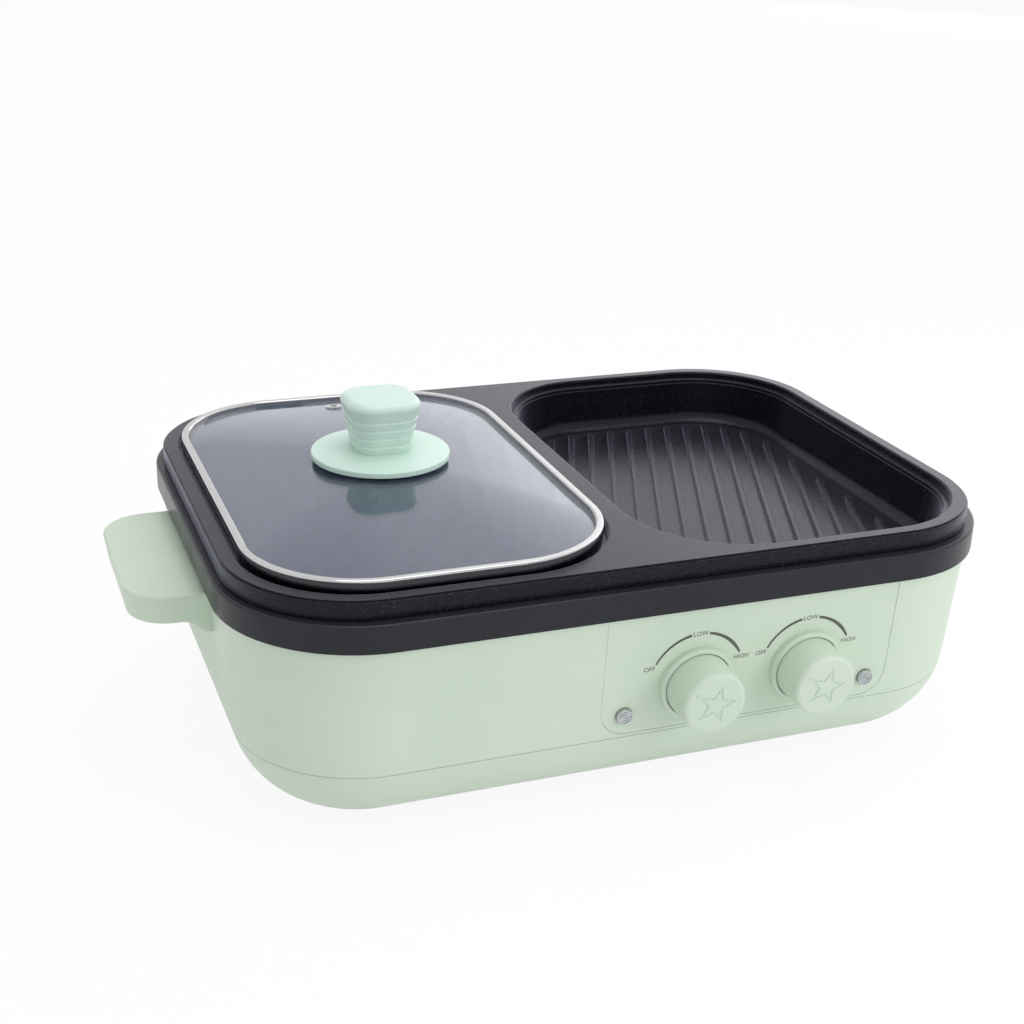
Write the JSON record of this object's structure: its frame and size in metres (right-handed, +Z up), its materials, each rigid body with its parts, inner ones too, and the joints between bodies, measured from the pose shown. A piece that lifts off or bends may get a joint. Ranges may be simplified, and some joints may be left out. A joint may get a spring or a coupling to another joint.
{
  "type": "electric hot pot with grill",
  "caption": "Table-top cooker with a deep pot basin under a loose glass lid beside a shallow ribbed grill basin, dials on the front and carrying handles at the ends.",
  "frame": {"origin": "on the table, under the middle of the housing", "axes": "+X along the length to the right as seen from the dials, +Z up; the dials face -Y"},
  "size_m": [0.4938, 0.3227, 0.1859],
  "materials": {
    "shell": "satin moulded plastic, pale sage green",
    "dial": "satin moulded plastic, pale sage green",
    "lid_grip": "satin moulded plastic, pale mint",
    "trim": "satin dark blue-grey plastic",
    "coated_tray": "cast aluminium with a dark speckled non-stick coating",
    "rim_steel": "polished stainless steel",
    "lid_glass": "grey-tinted tempered glass",
    "dark_rubber": "matt black rubber",
    "screw_steel": "zinc-plated steel",
    "sheet_aluminium": "plain sheet",
    "element_steel": "dull grey sheathed element",
    "ceramic": "glazed ceramic, off-white",
    "dark_plastic": "black moulded plastic",
    "brass": "plain brass",
    "lens": "clear ribbed plastic over a silvered seat",
    "lamp": "neon lamp",
    "wire_sleeve": "white silicone sleeve"
  },
  "bodies": {
    "base": {"housing": "shell", "trim_ring": "trim", "trim_screws": "screw_steel", "bottom_cover": "shell", "cover_screws": "screw_steel", "feet": "dark_rubber", "control_panel": "shell", "thermostat_left": "dark_plastic", "thermostat_right": "dark_plastic", "thermostat_screws": "screw_steel", "thermostat_tabs": "brass", "indicator_lens_left": "lens", "indicator_lens_right": "lens", "indicator_lamps": "lamp", "left_handle": "shell", "right_handle": "shell", "handle_screws": "screw_steel", "pot_heat_shield": "sheet_aluminium", "grill_heat_shield": "sheet_aluminium", "shield_screws": "screw_steel", "pot_element": "element_steel", "grill_element": "element_steel", "element_clips": "element_steel", "element_bushes": "ceramic", "thermal_cutoffs": "sheet_aluminium", "terminal_block": "ceramic", "power_inlet": "dark_plastic", "inlet_pins": "brass", "wiring": "wire_sleeve"},
    "tray": {"cooking_tray": "coated_tray"},
    "lid": {"lid_rim": "rim_steel", "lid_glass": "lid_glass", "vent_grommet": "dark_rubber", "lid_gasket": "dark_rubber", "knob_disc": "lid_grip", "lid_knob": "lid_grip", "lid_washer": "screw_steel", "lid_screw": "screw_steel"},
    "left_dial": {"control_knob_left": "dial", "thermostat_shaft_left": "screw_steel"},
    "right_dial": {"control_knob_right": "dial", "thermostat_shaft_right": "screw_steel"}
  },
  "joints": [
    {"name": "tray_lift", "type": "slide", "parent": "base", "child": "tray", "axis": [0, 0, 1], "range_m": [0, 0.12]},
    {"name": "lid_lift", "type": "slide", "parent": "tray", "child": "lid", "axis": [0, 0, 1], "range_m": [0, 0.15]},
    {"name": "left_dial_turn", "type": "hinge", "parent": "base", "child": "left_dial", "pos_m": [0.0204, -0.14661, 0.0695], "axis": [0, 0.9978, 0.0663], "range_deg": [0, 125]},
    {"name": "right_dial_turn", "type": "hinge", "parent": "base", "child": "right_dial", "pos_m": [0.083, -0.14661, 0.0695], "axis": [0, 0.9978, 0.0663], "range_deg": [0, 125]}
  ]
}
